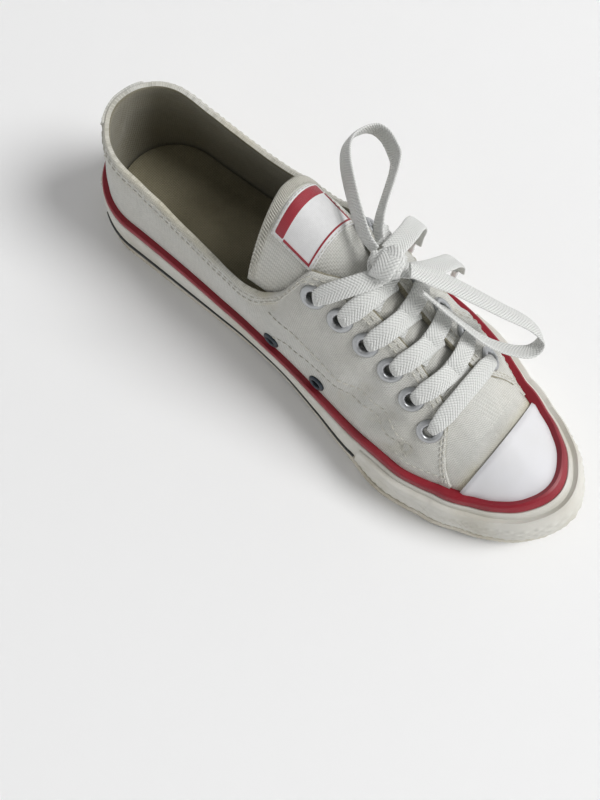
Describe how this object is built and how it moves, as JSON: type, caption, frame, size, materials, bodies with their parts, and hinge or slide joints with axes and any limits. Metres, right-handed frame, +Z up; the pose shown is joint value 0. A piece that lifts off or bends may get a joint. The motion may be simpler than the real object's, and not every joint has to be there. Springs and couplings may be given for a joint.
{
  "type": "canvas sneaker",
  "caption": "Low canvas lace-up sneaker for the left foot, with rubber sole, wrapped foxing, toe cap and toe bumper, standing empty and loosely tied.",
  "frame": {"origin": "under the middle of the shoe, on the plane that it stands on", "axes": "+X to the toe, +Y to the outer side of the left foot, +Z up"},
  "size_m": [0.2776, 0.1053, 0.1093],
  "materials": {
    "canvas": "plain woven cotton",
    "woven_label": "woven patch",
    "cap_rubber": "smooth moulded",
    "white_rubber": "satin moulded",
    "sole_rubber": "matt moulded",
    "red_rubber": "satin",
    "black_rubber": "satin",
    "sock_lining": "worn cloth",
    "lace": "flat braid",
    "eyelet_metal": "satin",
    "vent_metal": "dark satin",
    "tip_plastic": "gloss"
  },
  "bodies": {
    "root": {"upper": "canvas", "heel_stay": "canvas", "tongue": "canvas", "tongue_label": "woven_label", "toe_cap": "cap_rubber", "foxing": "white_rubber", "toe_bumper": "white_rubber", "heel_plate": "white_rubber", "outsole": "sole_rubber", "red_stripe": "red_rubber", "black_stripe_medial": "black_rubber", "black_stripe_lateral": "black_rubber", "insole": "sock_lining", "lace_bar": "lace", "lace_crossing_2": "lace", "lace_crossing_3": "lace", "lace_crossing_4": "lace", "lace_crossing_5": "lace", "eyelet_medial_1": "eyelet_metal", "eyelet_medial_2": "eyelet_metal", "eyelet_medial_3": "eyelet_metal", "eyelet_medial_4": "eyelet_metal", "eyelet_medial_5": "eyelet_metal", "eyelet_medial_6": "eyelet_metal", "eyelet_lateral_1": "eyelet_metal", "eyelet_lateral_2": "eyelet_metal", "eyelet_lateral_3": "eyelet_metal", "eyelet_lateral_4": "eyelet_metal", "eyelet_lateral_5": "eyelet_metal", "eyelet_lateral_6": "eyelet_metal", "vent_eyelet_1": "vent_metal", "vent_eyelet_2": "vent_metal", "lace_knot": "lace", "lace_loop_up": "lace", "lace_loop_side": "lace", "lace_end_back": "lace", "lace_end_side": "lace", "lace_tip_back": "tip_plastic", "lace_tip_side": "tip_plastic"}
  },
  "joints": []
}
